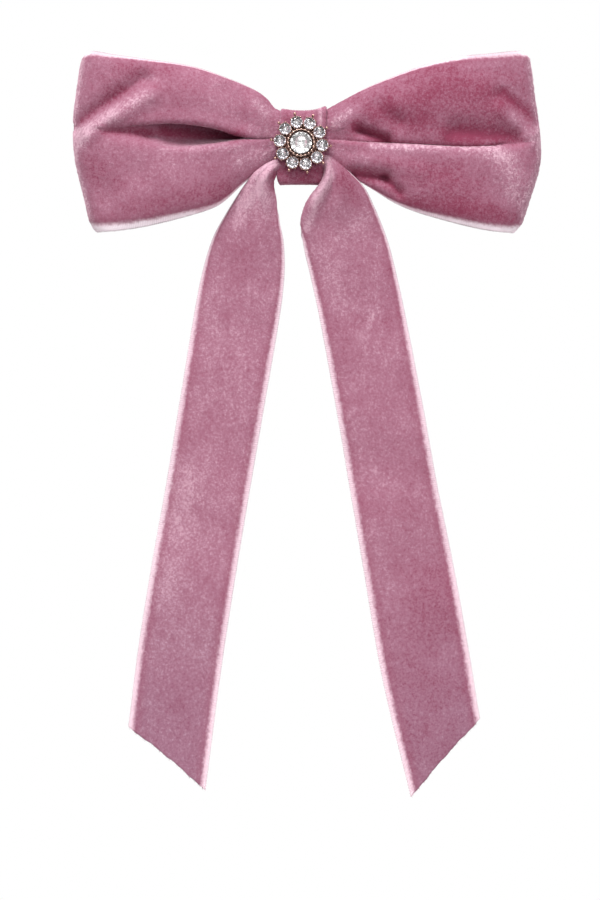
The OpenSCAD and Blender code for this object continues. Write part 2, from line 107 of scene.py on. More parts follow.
def add_studio():
    """The lights, and a world that is white behind the bow and lights it softly from above."""
    for light in LIGHTS:
        add_light(*light)
    world = bpy.data.worlds.new("studio")
    world.use_nodes = True
    nodes, links = world.node_tree.nodes, world.node_tree.links
    nodes.clear()
    out = nodes.new("ShaderNodeOutputWorld")
    seen = nodes.new("ShaderNodeBackground")
    glow = nodes.new("ShaderNodeBackground")
    mix = nodes.new("ShaderNodeMixShader")
    ray = nodes.new("ShaderNodeLightPath")
    direction = nodes.new("ShaderNodeTexCoord")
    parts = nodes.new("ShaderNodeSeparateXYZ")
    sky = nodes.new("ShaderNodeMapRange")
    for socket, number in (("From Min", -0.7), ("From Max", 0.8), ("To Min", 0.22), ("To Max", 0.72)):
        sky.inputs[socket].default_value = number
    seen.inputs["Color"].default_value = (1, 1, 1, 1)
    glow.inputs["Color"].default_value = (1, 0.975, 0.98, 1)
    links.new(direction.outputs["Generated"], parts.inputs[0])
    links.new(parts.outputs["Z"], sky.inputs["Value"])
    links.new(sky.outputs["Result"], glow.inputs["Strength"])
    links.new(ray.outputs["Is Camera Ray"], mix.inputs["Fac"])
    links.new(glow.outputs[0], mix.inputs[1])
    links.new(seen.outputs[0], mix.inputs[2])
    links.new(mix.outputs[0], out.inputs["Surface"])
    bpy.context.scene.world = world
    bpy.context.scene.view_settings.view_transform = "Standard"


def add_floor():
    """A pale round floor under the hanging tails, too small to show from the front."""
    turns = np.linspace(0, 2 * math.pi, 64, False)
    points = [(FLOOR_R * math.cos(a), FLOOR_R * math.sin(a), FLOOR_Z) for a in turns]
    mesh = bpy.data.meshes.new("floor")
    mesh.from_pydata(points, [], [list(range(len(points)))])
    floor = bpy.data.objects.new("floor", mesh)
    bpy.context.scene.collection.objects.link(floor)
    mesh.materials.append(new_material("pale_floor", (0.85, 0.85, 0.84), 0.7)[0])


# ---------------------------------------------------------------- materials

def new_material(name, colour, roughness):
    material = bpy.data.materials.new(name)
    material.use_nodes = True
    shader = material.node_tree.nodes["Principled BSDF"]
    shader.inputs["Base Color"].default_value = (*colour, 1)
    shader.inputs["Roughness"].default_value = roughness
    return material, shader


class Graph:
    """Short ways to add and join nodes in one material."""

    def __init__(self, material):
        self.nodes = material.node_tree.nodes
        self.links = material.node_tree.links

    def plug(self, socket, value):
        if isinstance(value, bpy.types.NodeSocket):
            self.links.new(value, socket)
        else:
            socket.default_value = value

    def math(self, operation, a, b=0.0, clamp=False):
        node = self.nodes.new("ShaderNodeMath")
        node.operation = operation
        node.use_clamp = clamp
        self.plug(node.inputs[0], a)
        self.plug(node.inputs[1], b)
        return node.outputs[0]

    def noise(self, vector, scale, detail=3.0, roughness=0.6, distortion=0.0):
        node = self.nodes.new("ShaderNodeTexNoise")
        self.plug(node.inputs["Vector"], vector)
        node.inputs["Scale"].default_value = scale
        node.inputs["Detail"].default_value = detail
        node.inputs["Roughness"].default_value = roughness
        node.inputs["Distortion"].default_value = distortion
        return node.outputs["Fac"]

    def spread(self, value, low, high, to_low=0.0, to_high=1.0):
        node = self.nodes.new("ShaderNodeMapRange")
        node.interpolation_type = "SMOOTHSTEP"
        self.plug(node.inputs["Value"], value)
        names = ("From Min", "From Max", "To Min", "To Max")
        for socket, number in zip(names, (low, high, to_low, to_high)):
            self.plug(node.inputs[socket], number)
        return node.outputs["Result"]

    def mix(self, share, a, b, blend="MIX"):
        node = self.nodes.new("ShaderNodeMix")
        node.data_type = "RGBA"
        node.blend_type = blend
        self.plug(node.inputs["Factor"], share)
        self.plug(node.inputs["A"], (*a, 1) if isinstance(a, tuple) else a)
        self.plug(node.inputs["B"], (*b, 1) if isinstance(b, tuple) else b)
        return node.outputs["Result"]

    def scaled(self, vector, scale):
        node = self.nodes.new("ShaderNodeVectorMath")
        node.operation = "MULTIPLY"
        self.plug(node.inputs[0], vector)
        node.inputs[1].default_value = scale
        return node.outputs[0]

    def split(self, vector):
        node = self.nodes.new("ShaderNodeSeparateXYZ")
        self.plug(node.inputs[0], vector)
        return node.outputs

    def object_place(self):
        return self.nodes.new("ShaderNodeTexCoord").outputs["Object"]

    def uv_place(self, uv_map):
        node = self.nodes.new("ShaderNodeUVMap")
        node.uv_map = uv_map
        return node.outputs["UV"]

    def bump(self, height, strength, distance, normal=None):
        node = self.nodes.new("ShaderNodeBump")
        node.inputs["Strength"].default_value = strength
        node.inputs["Distance"].default_value = distance
        self.plug(node.inputs["Height"], height)
        if normal is not None:
            self.plug(node.inputs["Normal"], normal)
        return node.outputs["Normal"]


RIBBON_MAP = "ribbon"      # millimetres along a ribbon, and across it
# The tone in this map is mostly painted light and shade, with some patches where the nap lies differently
NAP_AND_LIGHT_MAP = "brush"        # selvage widths from the nearer edge, and tone of the pile from -1 to 1
RIB = 0.62                 # mm from one rib of the selvage to the next

# Linear colours of the pile, of its painted cooler shade towards the cut, and of the selvage with its
# painted highlight
PILE_DARK = (0.24, 0.045, 0.088)
PILE_MID = (0.365, 0.153, 0.222)
PILE_LIGHT = (0.66, 0.41, 0.50)
COOL_SHADE = (0.57, 0.75, 0.75)
SATIN = (0.89, 0.74, 0.80)
SATIN_SHADE = (0.73, 0.54, 0.61)
SATIN_PAINTED_LIGHT = (1.0, 0.87, 0.94)
SATIN_INNER = (0.72, 0.46, 0.56)


def picots(g, shader, along, edge, fade):
    """Tiny loops of weft along the very edge of the ribbon, thinning over the share fade of the selvage."""
    loops = g.math("MULTIPLY", g.math("SINE", g.math("MULTIPLY", along, 2 * math.pi / RIB)), 0.05)
    loose = g.math("MULTIPLY", g.noise(g.object_place(), 2400, 2), 0.16)
    limit = g.math("ADD", g.math("ADD", loops, loose), 0.02)
    g.plug(shader.inputs["Alpha"], g.spread(g.math("SUBTRACT", edge, limit), -0.03, fade))


def velvet(name, fade, tone=0.0, crush=0.7, cool_shade=0.0):
    """Velvet pile, darker and lighter as its tone map says, with a ribbed satin selvage at both edges.

    The tone map holds painted light and shade, along with patches where the nap lies differently.
    Where it is dark the sheen is weaker, which deepens the painted shade; where it is light the
    selvage gets a painted highlight and the pile is speckled by the share crush. Towards the cut the
    pile is tinted darker and cooler by the share in the last argument, a painted cooler shade. Its
    outermost loops thin out over the share fade of the selvage.
    """
    material, shader = new_material(name, PILE_MID, 0.9)
    g = Graph(material)
    shader.inputs["Sheen Roughness"].default_value = 0.38
    shader.inputs["Sheen Tint"].default_value = (1.0, 0.68, 0.79, 1)
    shader.inputs["Specular IOR Level"].default_value = 0.1
    where = g.object_place()
    along = g.split(g.uv_place(RIBBON_MAP))[0]
    brush = g.split(g.uv_place(NAP_AND_LIGHT_MAP))
    # Less sheen where the tone is dark, which deepens the painted shade there
    g.plug(shader.inputs["Sheen Weight"], g.spread(brush[1], -1.0, -0.1, 0.1, 0.75))
    # Pile: wide nap patches, hand marks, the grain of the tufts, and the painted light and shade of the
    # tone map
    patches = g.noise(where, 75, 3, 0.5, 0.5)
    marks = g.noise(g.scaled(where, (1.6, 1, 0.8)), 300, 3, 0.6)
    grain = g.noise(where, 1300, 2, 0.7)
    tufts = g.noise(where, 4200, 1, 0.5)
    speckle = g.spread(g.noise(where, 900, 3, 0.8), 0.5, 0.68)
    lift = g.math("ADD", g.math("MULTIPLY", g.spread(patches, 0.25, 0.75), 0.15), 0.36 + tone)
    lift = g.math("ADD", lift, g.math("MULTIPLY", g.math("SUBTRACT", marks, 0.5), 0.4))
    lift = g.math("ADD", lift, g.math("MULTIPLY", g.math("SUBTRACT", grain, 0.5), 0.95))
    lift = g.math("ADD", lift, g.math("MULTIPLY", g.math("SUBTRACT", tufts, 0.5), 0.7))
    lift = g.math("ADD", lift, g.math("MULTIPLY", brush[1], 0.42))
    crushed = g.math("MULTIPLY", speckle, g.spread(brush[1], 0.2, 0.9))
    lift = g.math("ADD", lift, g.math("MULTIPLY", crushed, crush))
    light = g.mix(g.spread(lift, 0.45, 1.15), PILE_MID, PILE_LIGHT)
    pile = g.mix(g.spread(lift, -0.1, 0.55), PILE_DARK, light)
    # Painted cooler shade: the pile is tinted darker and cooler towards the cut
    pile = g.mix(g.spread(along, 100, 190, 0.0, cool_shade), pile, COOL_SHADE, "MULTIPLY")
    # Selvage, with ribs across the weave
    wander = g.math("MULTIPLY", g.math("SUBTRACT", g.noise(where, 1100, 3), 0.5), 0.9)
    on_pile = g.spread(g.math("ADD", brush[0], wander), 0.5, 1.3)
    rib = g.math("SINE", g.math("MULTIPLY", along, 2 * math.pi / RIB))
    rib = g.math("ADD", g.math("MULTIPLY", rib, 0.5), 0.5)
    satin = g.mix(g.math("MULTIPLY", rib, g.spread(grain, 0.3, 0.7)), SATIN_SHADE, SATIN)
    satin = g.mix(g.spread(brush[0], 0.2, 1.0, 0.0, 0.75), satin, SATIN_INNER)
    # Painted highlight on the selvage where the tone is light
    satin = g.mix(g.math("MULTIPLY", brush[1], 1.3, True), satin, SATIN_PAINTED_LIGHT)
    beside = g.math("SUBTRACT", 1.0, g.spread(brush[0], 1.1, 2.6))
    pile = g.mix(g.math("MULTIPLY", beside, 0.3), pile, PILE_DARK)
    g.plug(shader.inputs["Base Color"], g.mix(on_pile, satin, pile))
    height = g.math("ADD", g.math("MULTIPLY", grain, 0.6), g.math("MULTIPLY", tufts, 0.5))
    fur = g.bump(g.math("MULTIPLY", height, on_pile), 0.5, 0.35 * MM)
    woven = g.math("MULTIPLY", rib, g.math("SUBTRACT", 1.0, on_pile))
    g.plug(shader.inputs["Normal"], g.bump(woven, 0.5, 0.12 * MM, fur))
    picots(g, shader, along, brush[0], fade)
    return material


def satin_back(name, fade):
    """The flat woven back of the ribbon."""
    material, shader = new_material(name, (0.50, 0.24, 0.32), 0.5)
    g = Graph(material)
    shader.inputs["Sheen Weight"].default_value = 0.25
    shader.inputs["Sheen Roughness"].default_value = 0.5
    parts = g.split(g.uv_place(RIBBON_MAP))
    warp = g.math("SINE", g.math("MULTIPLY", parts[1], 2 * math.pi / 0.3))
    weft = g.math("SINE", g.math("MULTIPLY", parts[0], 2 * math.pi / 0.36))
    weave = g.math("MULTIPLY", warp, weft)
    streaks = g.noise(g.scaled(g.uv_place(RIBBON_MAP), (0.03, 1.0, 0.0)), 1.6, 3, 0.7)
    share = g.math("ADD", g.math("MULTIPLY", weave, 0.22), g.spread(streaks, 0.25, 0.75, 0.2, 0.8), True)
    web = g.mix(share, (0.40, 0.17, 0.24), (0.60, 0.31, 0.39))
    edge = g.split(g.uv_place(NAP_AND_LIGHT_MAP))[0]
    g.plug(shader.inputs["Base Color"], g.mix(g.spread(edge, 0.8, 1.1), SATIN, web))
    g.plug(shader.inputs["Normal"], g.bump(weave, 0.35, 0.08 * MM))
    picots(g, shader, parts[0], edge, fade)
    return material


def plated_metal(name, bright, dark, roughness, streaks, shade_range=(0.25, 0.85)):
    """Plated metal: fine streaks or pits, and darker recesses, which are painted shade (on the rose gold
    also its antique darkening).
    """
    material, shader = new_material(name, bright, roughness)
    shader.inputs["Metallic"].default_value = 1.0
    g = Graph(material)
    place = g.scaled(g.object_place(), streaks)
    fine = g.noise(place, 1400, 3, 0.6)
    broad = g.noise(g.object_place(), 220, 3, 0.6)
    # Painted shade: the colour darkens in recesses that ambient occlusion finds
    recess = g.nodes.new("ShaderNodeAmbientOcclusion")
    recess.samples = 8
    recess.inputs["Distance"].default_value = 1.0 * MM
    unshaded = g.spread(recess.outputs["AO"], *shade_range)
    clean = g.math("MULTIPLY", unshaded, g.spread(broad, 0.2, 0.6, 0.75, 1.0))
    g.plug(shader.inputs["Base Color"], g.mix(clean, dark, bright))
    g.plug(shader.inputs["Roughness"], g.spread(fine, 0.3, 0.7, roughness * 0.75, roughness * 1.4))
    g.plug(shader.inputs["Normal"], g.bump(fine, 0.12, 0.04 * MM))
    return material


def crystal(name):
    material, shader = new_material(name, (1.0, 1.0, 1.0), 0.0)
    shader.inputs["Transmission Weight"].default_value = 1.0
    shader.inputs["IOR"].default_value = 1.62
    g = Graph(material)
    haze = g.noise(g.object_place(), 900, 2)
    g.plug(shader.inputs["Roughness"], g.spread(haze, 0.4, 0.8, 0.0, 0.03))
    return material


def foil(name, clean, worn, roughness):
    """Mirror foil behind a crystal."""
    material, shader = new_material(name, clean, roughness)
    shader.inputs["Metallic"].default_value = 1.0
    g = Graph(material)
    wear = g.noise(g.object_place(), 700, 3)
    g.plug(shader.inputs["Base Color"], g.mix(g.spread(wear, 0.55, 0.8), clean, worn))
    return material


def thread(name, colour):
    material, shader = new_material(name, colour, 0.6)
    g = Graph(material)
    twist = g.noise(g.scaled(g.object_place(), (3, 1, 1)), 2600, 2)
    shaded = tuple(0.6 * c for c in colour)
    g.plug(shader.inputs["Base Color"], g.mix(g.spread(twist, 0.35, 0.65), shaded, colour))
    g.plug(shader.inputs["Normal"], g.bump(twist, 0.5, 0.08 * MM))
    return material


# ---------------------------------------------------------------- curves and meshes

def slopes(knots, values):
    """Slope of a smooth curve at each knot, from its neighbours."""
    low = np.maximum(np.arange(len(knots)) - 1, 0)
    high = np.minimum(np.arange(len(knots)) + 1, len(knots) - 1)
    gap = (knots[high] - knots[low]).reshape(-1, *([1] * (values.ndim - 1)))
    return (values[high] - values[low]) / gap


def smooth(knots, values, at):
    """Values at some places on the smooth curve through (knots, values)."""
    knots, values, at = np.asarray(knots, float), np.asarray(values, float), np.asarray(at, float)
    slope = slopes(knots, values)
    i = np.clip(np.searchsorted(knots, at, side="right") - 1, 0, len(knots) - 2)
    width = knots[i + 1] - knots[i]
    s = np.clip((at - knots[i]) / width, 0, 1)
    if values.ndim > 1:
        shape = s.shape + (1,) * (values.ndim - 1)
        s, width = s.reshape(shape), width.reshape(shape)
    return (values[i] * (2 * s**3 - 3 * s**2 + 1) + slope[i] * width * (s**3 - 2 * s**2 + s)
            + values[i + 1] * (3 * s**2 - 2 * s**3) + slope[i + 1] * width * (s**3 - s**2))


def table(rows, at):
    """The second column of a table at some places, its first column being the knots."""
    rows = np.asarray(rows, float)
    return smooth(rows[:, 0], rows[:, 1], at)


def bell(distance, wide):
    """A smooth bump of height 1, fading with distance."""
    return np.exp(-(distance / wide) ** 2)


def even(points, count):
    """Points moved along a line of points (the first axis) so that they lie evenly on it."""
    steps = np.linalg.norm(np.diff(points, axis=0), axis=-1)
    place = np.concatenate([[0], np.cumsum(steps)])
    wanted = np.linspace(0, place[-1], count)
    return np.stack([np.interp(wanted, place, points[:, k]) for k in range(points.shape[1])], axis=1)


def surface_normals(grid):
    du = np.gradient(grid, axis=0)
    dv = np.gradient(grid, axis=1)
    n = np.cross(du, dv)
    return n / np.maximum(np.linalg.norm(n, axis=-1, keepdims=True), 1e-9)


def add_object(name, points, faces, smooth_shade=True):
    mesh = bpy.data.meshes.new(name)
    mesh.from_pydata([tuple(p) for p in np.asarray(points) * MM], [], faces)
    mesh.update()
    if smooth_shade:
        mesh.polygons.foreach_set("use_smooth", [True] * len(mesh.polygons))
    piece = bpy.data.objects.new(name, mesh)
    bpy.context.scene.collection.objects.link(piece)
    return piece


PILE_H = 0.5               # mm that the pile stands in front of the ribbon's middle surface
WEB_H = 0.16               # mm of the woven web before and behind it


def edge_distance(rows, columns, width, low, high):
    """Distance of each grid point from the nearer edge, in widths of that edge's selvage."""
    across = np.linspace(0, width, columns)[None, :]
    low = np.interp(np.linspace(0, 1, rows), np.linspace(0, 1, len(low)), low)[:, None]
    high = np.interp(np.linspace(0, 1, rows), np.linspace(0, 1, len(high)), high)[:, None]
    return np.minimum(across / low, (width - across) / high)


def rounded(columns, width):
    """Half thickness of the web near its two edges, as a share of its full one."""
    across = np.linspace(0, width, columns)
    return np.sqrt(np.clip(np.minimum(across, width - across) / 0.25, 0, 1))


def put_uv(mesh, name, values):
    corners = np.empty(len(mesh.loops), int)
    mesh.loops.foreach_get("vertex_index", corners)
    both = np.concatenate([values.reshape(-1, 2)] * 2)
    mesh.uv_layers.new(name=name).data.foreach_set("uv", both[corners].ravel())


def ribbon(name, grid, width, selvages, tones, pile, side=1, fade=0.1):
    """A ribbon solid round a grid of points [along][across] in mm.

    Its pile is on the side that the grid's normals point to, or away from it where side is -1. The values
    of pile go to the velvet, and fade to both of its materials.
    """
    rows, columns = grid.shape[:2]
    edge = edge_distance(rows, columns, width, *selvages)
    rise = np.clip((edge - 0.8) / 0.5, 0, 1)
    normal = surface_normals(grid) * side
    web = WEB_H * rounded(columns, width)[None, :]
    fuzz = 0.05 * rng.standard_normal((rows, columns)) * rise
    outer = grid + normal * (web + (PILE_H - WEB_H) * rise * rise * (3 - 2 * rise) + fuzz)[..., None]
    inner = grid - normal * web[..., None]
    points = np.concatenate([outer.reshape(-1, 3), inner.reshape(-1, 3)])
    index = np.arange(rows * columns).reshape(rows, columns)
    a, b, c, d = index[:-1, :-1], index[:-1, 1:], index[1:, 1:], index[1:, :-1]
    quads = np.stack([a, b, c, d], -1).reshape(-1, 4)
    flipped = quads[:, ::-1]
    under = rows * columns
    outside = quads if side > 0 else flipped
    inside = (flipped if side > 0 else quads) + under
    rim = []
    for line, turn in ((index[0], 1), (index[-1], -1), (index[:, 0], -1), (index[:, -1], 1)):
        p, q = line[:-1], line[1:]
        strip = np.stack([p, p + under, q + under, q], -1)
        rim.append(strip if turn * side > 0 else strip[:, ::-1])
    faces = np.concatenate([outside, inside, *rim])
    piece = add_object(name, points, faces.tolist())
    mesh = piece.data
    lengths = np.linalg.norm(np.diff(grid[:, columns // 2], axis=0), axis=-1)
    along = np.concatenate([[0], np.cumsum(lengths)])
    across = np.linspace(0, width, columns)
    put_uv(mesh, RIBBON_MAP, np.stack(np.broadcast_arrays(along[:, None], across[None, :]), -1))
    put_uv(mesh, NAP_AND_LIGHT_MAP, np.stack([edge, tones], -1))
    mesh.materials.append(velvet(name + "_pile", fade, *pile))
    mesh.materials.append(satin_back(name + "_back", fade))
    slots = np.zeros(len(faces), int)
    slots[len(outside):len(outside) + len(inside)] = 1
    mesh.polygons.foreach_set("material_index", slots)
    return piece


def distance_to(place, start, end):
    """Distance of points from the line between two points."""
    start, end = np.array(start, float), np.array(end, float)
    run = end - start
    share = np.clip(((place - start) @ run) / (run @ run), 0, 1)
    return np.linalg.norm(place - start - share[..., None] * run, axis=-1)


def light_and_nap_tones(grid, strokes):
    """Tone of the pile from strokes of painted light and shade, and nap patches: (start, end, half width,
    tone), the points as (distance, height).
    """
    place = np.stack([np.abs(grid[..., 0]), grid[..., 2]], -1)
    tones = np.zeros(grid.shape[:2])
    for start, end, wide, tone in strokes:
        tones += tone * bell(distance_to(place, start, end), wide)
    return tones


# ---------------------------------------------------------------- the two loops

LOOP_W = 50.0              # mm, the wide ribbon
TAIL_W = 25.0              # mm, the narrow ribbon
FOLD_SHEEN = 1.3           # mm from the outer fold over which the pile is painted lighter: a painted sheen highlight on the fold, partly the pile opening there
LOOP_Y = -12.0             # mm, the plane that loop depths are counted from, forward being -Y

# Upper and lower edge: [distance from the middle, height]
LEFT_TOP = [
    (0, 9.4), (7, 10.0), (10.5, 13.7), (14, 15.9), (20.8, 18.7), (31, 22.0), (45, 24.0), (55, 25.4),
    (62, 26.5), (66, 26.6)]
LEFT_LOW = [
    (0, -4.6), (7, -5.0), (14, -9.4), (17.4, -12.3), (20.8, -15.6), (24.2, -18.1), (31, -20.5),
    (45, -23.8), (56, -25.2), (66, -25.6)]
RIGHT_TOP = [
    (0, 9.4), (7, 10.0), (10, 11.4), (17, 15.2), (24, 18.2), (34, 21.9), (45, 24.6), (55, 25.6),
    (65, 26.6), (70, 26.7)]
RIGHT_LOW = [
    (0, -4.6), (7, -5.0), (14, -9.2), (20.2, -13.0), (27, -17.2), (34, -20.0), (44, -22.7), (52, -24.4),
    (60, -25.4), (70, -25.8)]
# Reach of the outer fold by height: [height, distance from the middle]
LEFT_REACH = [
    (-26, 56.6), (-25, 58.4), (-23.5, 59.6), (-16, 61.4), (-4, 64.2), (6, 64.7), (16, 63.6), (24, 62.2),
    (26.6, 60.6)]
RIGHT_REACH = [
    (-26, 59.6), (-25, 61.0), (-23, 62.5), (-16, 64.9), (-6, 67.8), (2, 67.9), (14, 66.3), (24.5, 64.8),
    (26.6, 63.2)]

# Course of a loop, from the band in front round the outer fold to the band behind:
# [distance, depth of the crest, depth of the edges, height of the valley, half its opening, its depth]
LEFT_COURSE = [
    (0, 0.3, -0.6, 1.6, 0.10, 1.2), (7.5, 0.9, -0.5, 1.6, 0.10, 1.5), (12, 2.3, 0.2, 1.4, 0.15, 3.6),
    (18, 4.4, 1.4, 1.5, 0.7, 7.0), (24, 6.0, 2.6, 1.9, 2.1, 8.6), (31, 7.2, 3.8, 2.1, 3.1, 8.2),
    (37, 7.7, 4.7, 2.2, 3.3, 6.0), (42, 7.7, 5.0, 2.6, 2.7, 3.0), (47, 7.3, 4.9, 3.0, 2.0, 1.0),
    (53, 6.3, 4.4, 3.3, 1.2, 0.3), (60.5, 3.8, 3.0, 3.3, 0.8, 0.1), (63.6, 1.7, 1.3, 3.0, 0.8, 0.0),
    (64.7, -0.7, -0.7, 2.0, 0.8, 0.0), (62.6, -2.8, -2.7, 1.0, 0.8, 0.0),
    (56, -4.2, -4.2, 1.0, 0.8, -0.4), (46, -4.9, -4.6, 0.8, 0.8, -0.9),
    (34, -4.9, -4.2, 0.6, 0.6, -1.6), (22, -4.2, -3.0, 0.6, 0.4, -2.0),
    (12, -3.2, -2.0, 1.0, 0.2, -1.4), (7.5, -2.9, -1.7, 1.4, 0.1, -0.9),
    (0, -2.9, -1.7, 1.4, 0.1, -0.9)]
RIGHT_COURSE = [
    (0, 0.3, -0.6, 1.0, 0.10, 1.2), (7.5, 0.9, -0.5, 1.0, 0.10, 1.5), (12, 2.4, 0.2, 0.7, 0.12, 2.6),
    (18, 4.4, 1.4, 0.3, 0.25, 4.2), (26, 6.2, 3.0, 0.0, 0.4, 4.6), (36, 7.4, 4.4, -0.6, 0.5, 3.8),
    (46, 7.6, 5.0, -1.1, 0.5, 3.0), (53, 6.8, 4.7, -1.0, 0.6, 1.2), (57, 5.9, 4.3, -0.7, 0.8, 0.4),
    (62, 4.3, 3.4, -0.2, 0.8, 0.1), (66.6, 1.9, 1.5, 1.0, 0.8, 0.1), (67.9, -0.7, -0.7, 1.4, 0.8, 0.0),
    (65.6, -2.9, -2.8, 1.0, 0.8, 0.0), (58, -4.3, -4.2, 0.8, 0.8, -0.4),
    (47, -4.9, -4.6, 0.6, 0.8, -1.0), (34, -4.9, -4.2, 0.4, 0.6, -1.7),
    (22, -4.2, -3.0, 0.6, 0.4, -2.0), (12, -3.2, -2.0, 1.0, 0.2, -1.4),
    (7.5, -2.9, -1.7, 1.4, 0.1, -0.9), (0, -2.9, -1.7, 1.4, 0.1, -0.9)]
# How far the lower and the upper lobe stand forward at the valley, as shares of the crest's height, and how
# far the upper one hangs over it
LEFT_LIPS = (0.86, 0.97, 2.2)
RIGHT_LIPS = (0.98, 0.25, 0.0)
BACK_LIPS = (0.95, 0.95, 0.0)


def lobes(top, low, crest, edge, valley, opening, depth, lips):
    """Cross-section of a loop, from its lower edge to its upper one, as (height, depth) points."""
    lower, upper = valley - opening - low, top - valley - opening
    rise = crest - edge
    over = lips[2] * min(abs(depth) / 5, 1)
    lip_low, lip_up = edge + rise * lips[0], edge + rise * lips[1]
    floor = min(lip_low, lip_up) - depth if depth >= 0 else max(lip_low, lip_up) - depth
    return np.array([
        (low, edge), (low + 0.16 * lower, edge + 0.60 * rise), (low + 0.42 * lower, edge + 0.94 * rise),
        (low + 0.72 * lower, crest), (valley - opening - 0.05 * lower, 0.7 * lip_low + 0.3 * crest),
        (valley - opening, 0.65 * lip_low + 0.35 * floor), (valley - 0.35 * opening, floor + 0.1 * depth),
        (valley + 0.4 * opening, floor), (valley + opening + over, 0.25 * lip_up + 0.75 * floor),
        (valley + opening + 0.3 * over, 0.75 * lip_up + 0.25 * floor),
        (valley + opening + 0.03 * upper, 0.85 * lip_up + 0.15 * crest),
        (valley + opening + 0.24 * upper, edge + rise * (0.5 + 0.5 * lips[1])),
        (valley + opening + 0.54 * upper, crest), (top - 0.18 * upper, edge + 0.62 * rise), (top, edge)])


def loop_grid(course, top, low, reach, lips, creases, rows=270, columns=90):
    course = np.asarray(course, float)
    steps = np.hypot(np.diff(course[:, 0]), 2 * np.diff(course[:, 1]))
    knots = np.concatenate([[0], np.cumsum(steps)])
    path = smooth(knots, course, np.linspace(0, knots[-1], rows))
    farthest = course[:, 0].max()
    grid = np.empty((rows, columns, 3))
    for i, (d, crest, edge, valley, opening, depth) in enumerate(path):
        d = max(d, 0.0)
        inset = 0.4 * np.clip(-crest / 3, 0, 1)
        section = lobes(table(top, d) - inset, table(low, d) + inset, crest, edge, valley,
                        max(opening, 0.05), depth, lips if crest > 0 else BACK_LIPS)
        dense = smooth(np.arange(len(section)), section, np.linspace(0, len(section) - 1, 260))
        line = even(dense, columns)
        fall = table(reach, np.clip(line[:, 0], -26, 26.6)) - farthest
        x = d + fall * (d / farthest) ** 4
        grid[i] = np.stack([x, LOOP_Y - line[:, 1], line[:, 0]], -1)
    for start, end, deep, wide in creases:
        front = np.clip((LOOP_Y + 1 - grid[..., 1]) / 2, 0, 1)
        grid[..., 1] += deep * bell(distance_to(grid[..., [0, 2]], start, end), wide) * front
    return grid


def wrinkles(grid, seed, amount):
    """Small soft unevenness of cloth, as waves in random directions, in mm of depth."""
    waves = np.random.default_rng(seed)
    total = np.zeros(grid.shape[:2])
    for _ in range(14):
        direction = waves.normal(size=3) * (1, 0.6, 1)
        direction /= np.linalg.norm(direction)
        length = waves.uniform(7, 26)
        total += np.sin(grid @ direction * 2 * math.pi / length + waves.uniform(0, 6.3)) * length / 26
    return amount * total / 3


# Soft dents and ridges on the front: (distance, height) of both ends, depth, and half width. A ridge has a
# negative depth.
LEFT_CREASES = [
    ((64, 4.8), (45, 17.5), 2.2, 3.0), ((61, 3.0), (43, 13.8), -1.3, 3.0),
    ((54, 3.6), (44, 2.0), 1.3, 2.4), ((21, 15.0), (17, 6.0), 0.5, 2.0),
    ((14, 12.5), (12, 4.0), -0.5, 1.8), ((55, -14), (46, -9), 0.5, 4.0)]
RIGHT_CREASES = [
    ((67, 6.0), (57, 13.5), 1.0, 2.7), ((65, 2.0), (57, 9.5), -0.9, 2.6),
    ((17, 3.6), (24.5, 0.9), 2.6, 1.5), ((44, 3.2), (61, 1.6), 1.5, 3.2),
    ((15, -8.4), (24, -9.8), 2.2, 1.7), ((24, -9.8), (28, -14), 1.6, 1.6),
    ((12, 12.0), (11, 5.0), -0.5, 1.8), ((22, 10.0), (28, 6.0), 0.9, 2.6),
    ((58, -8.0), (64, -14.0), -0.6, 4.0), ((18, -4), (34, -8), -0.6, 2.5)]
# Painted light and shade on the pile, with some patches where the nap lies differently, as strokes: both
# ends, half width and tone. The light strokes are painted highlights on the lips, ridges and selvages,
# the dark ones painted shade in the mouth of each loop, its creases and pockets
LEFT_LIGHT_AND_NAP = [
    ((62, 3.5), (44, 13.0), 2.2, 0.75), ((63, 6.0), (51, 15.0), 1.9, -0.8),
    ((43, 18.5), (41, 18), 0.9, 0.7), ((51, 21.0), (38, 19.5), 2.5, -0.35),
    ((40, -2.4), (17, -1.0), 1.0, 0.4), ((44, -6), (20, -6), 4.0, 0.12),
    ((50, -19.0), (22, -13), 3.0, -0.4), ((10, 8.8), (13, 11.3), 1.4, 0.5),
    ((9, -2), (18, -5.5), 2.4, 0.45), ((57, -24.9), (45, -23.3), 1.5, 0.8),
    ((45, -23.3), (31, -20.2), 1.3, 0.7), ((16, 10.0), (16, 8), 1.5, -0.3),
    ((63, 0.5), (61, 3.0), 1.8, 1.0), ((61, -7), (52, -10), 4.0, -0.3), ((9, 2), (14, 4), 1.6, 0.3),
    ((56, 3.4), (45, 2.8), 1.7, -0.8), ((45, 2.8), (39, 3.2), 1.4, -0.7),
    ((39, 3.4), (18, 2.0), 1.6, -1.2), ((56, 24), (46, 23), 1.2, 0.3)]
